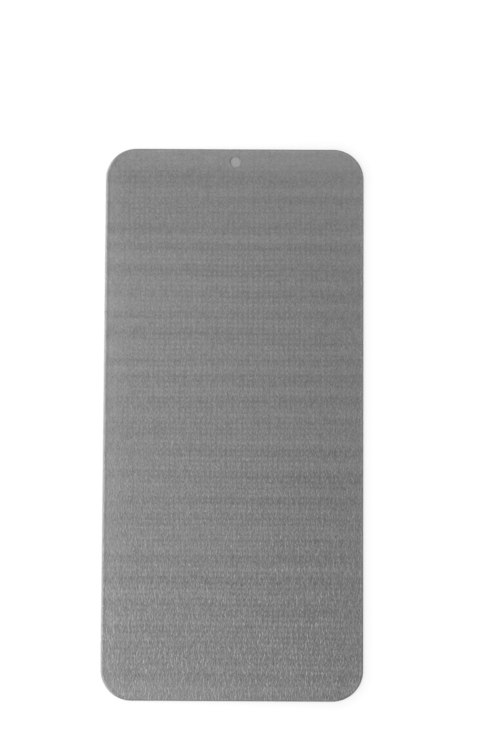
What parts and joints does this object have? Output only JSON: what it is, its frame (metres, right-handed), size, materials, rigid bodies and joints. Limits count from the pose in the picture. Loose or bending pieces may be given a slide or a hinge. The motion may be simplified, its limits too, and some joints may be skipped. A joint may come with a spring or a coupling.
{
  "type": "phone screen protector",
  "caption": "Rounded rectangular privacy screen protector for a phone: clear tempered glass with a ground front edge and a camera hole, laminated to a dark film, adhesive and release liner.",
  "frame": {"origin": "bottom centre of the whole laminate, on the release liner's back face", "axes": "+Z out of the front glass face, +Y along the pane towards the end with the camera hole, +X across the pane to the right as seen from the front"},
  "size_m": [0.0724, 0.154, 0.0008],
  "materials": {
    "clear_glass": "clear tempered glass, polished, ground front edge",
    "dark_film": "mid grey film with a fine upright grain, matt",
    "silicone_adhesive": "clear soft silicone, smooth",
    "liner_film": "milky grey polyester film, semi-gloss"
  },
  "bodies": {
    "root": {"glass_pane": "clear_glass", "privacy_film": "dark_film", "adhesive_layer": "silicone_adhesive", "release_liner": "liner_film"}
  },
  "joints": []
}
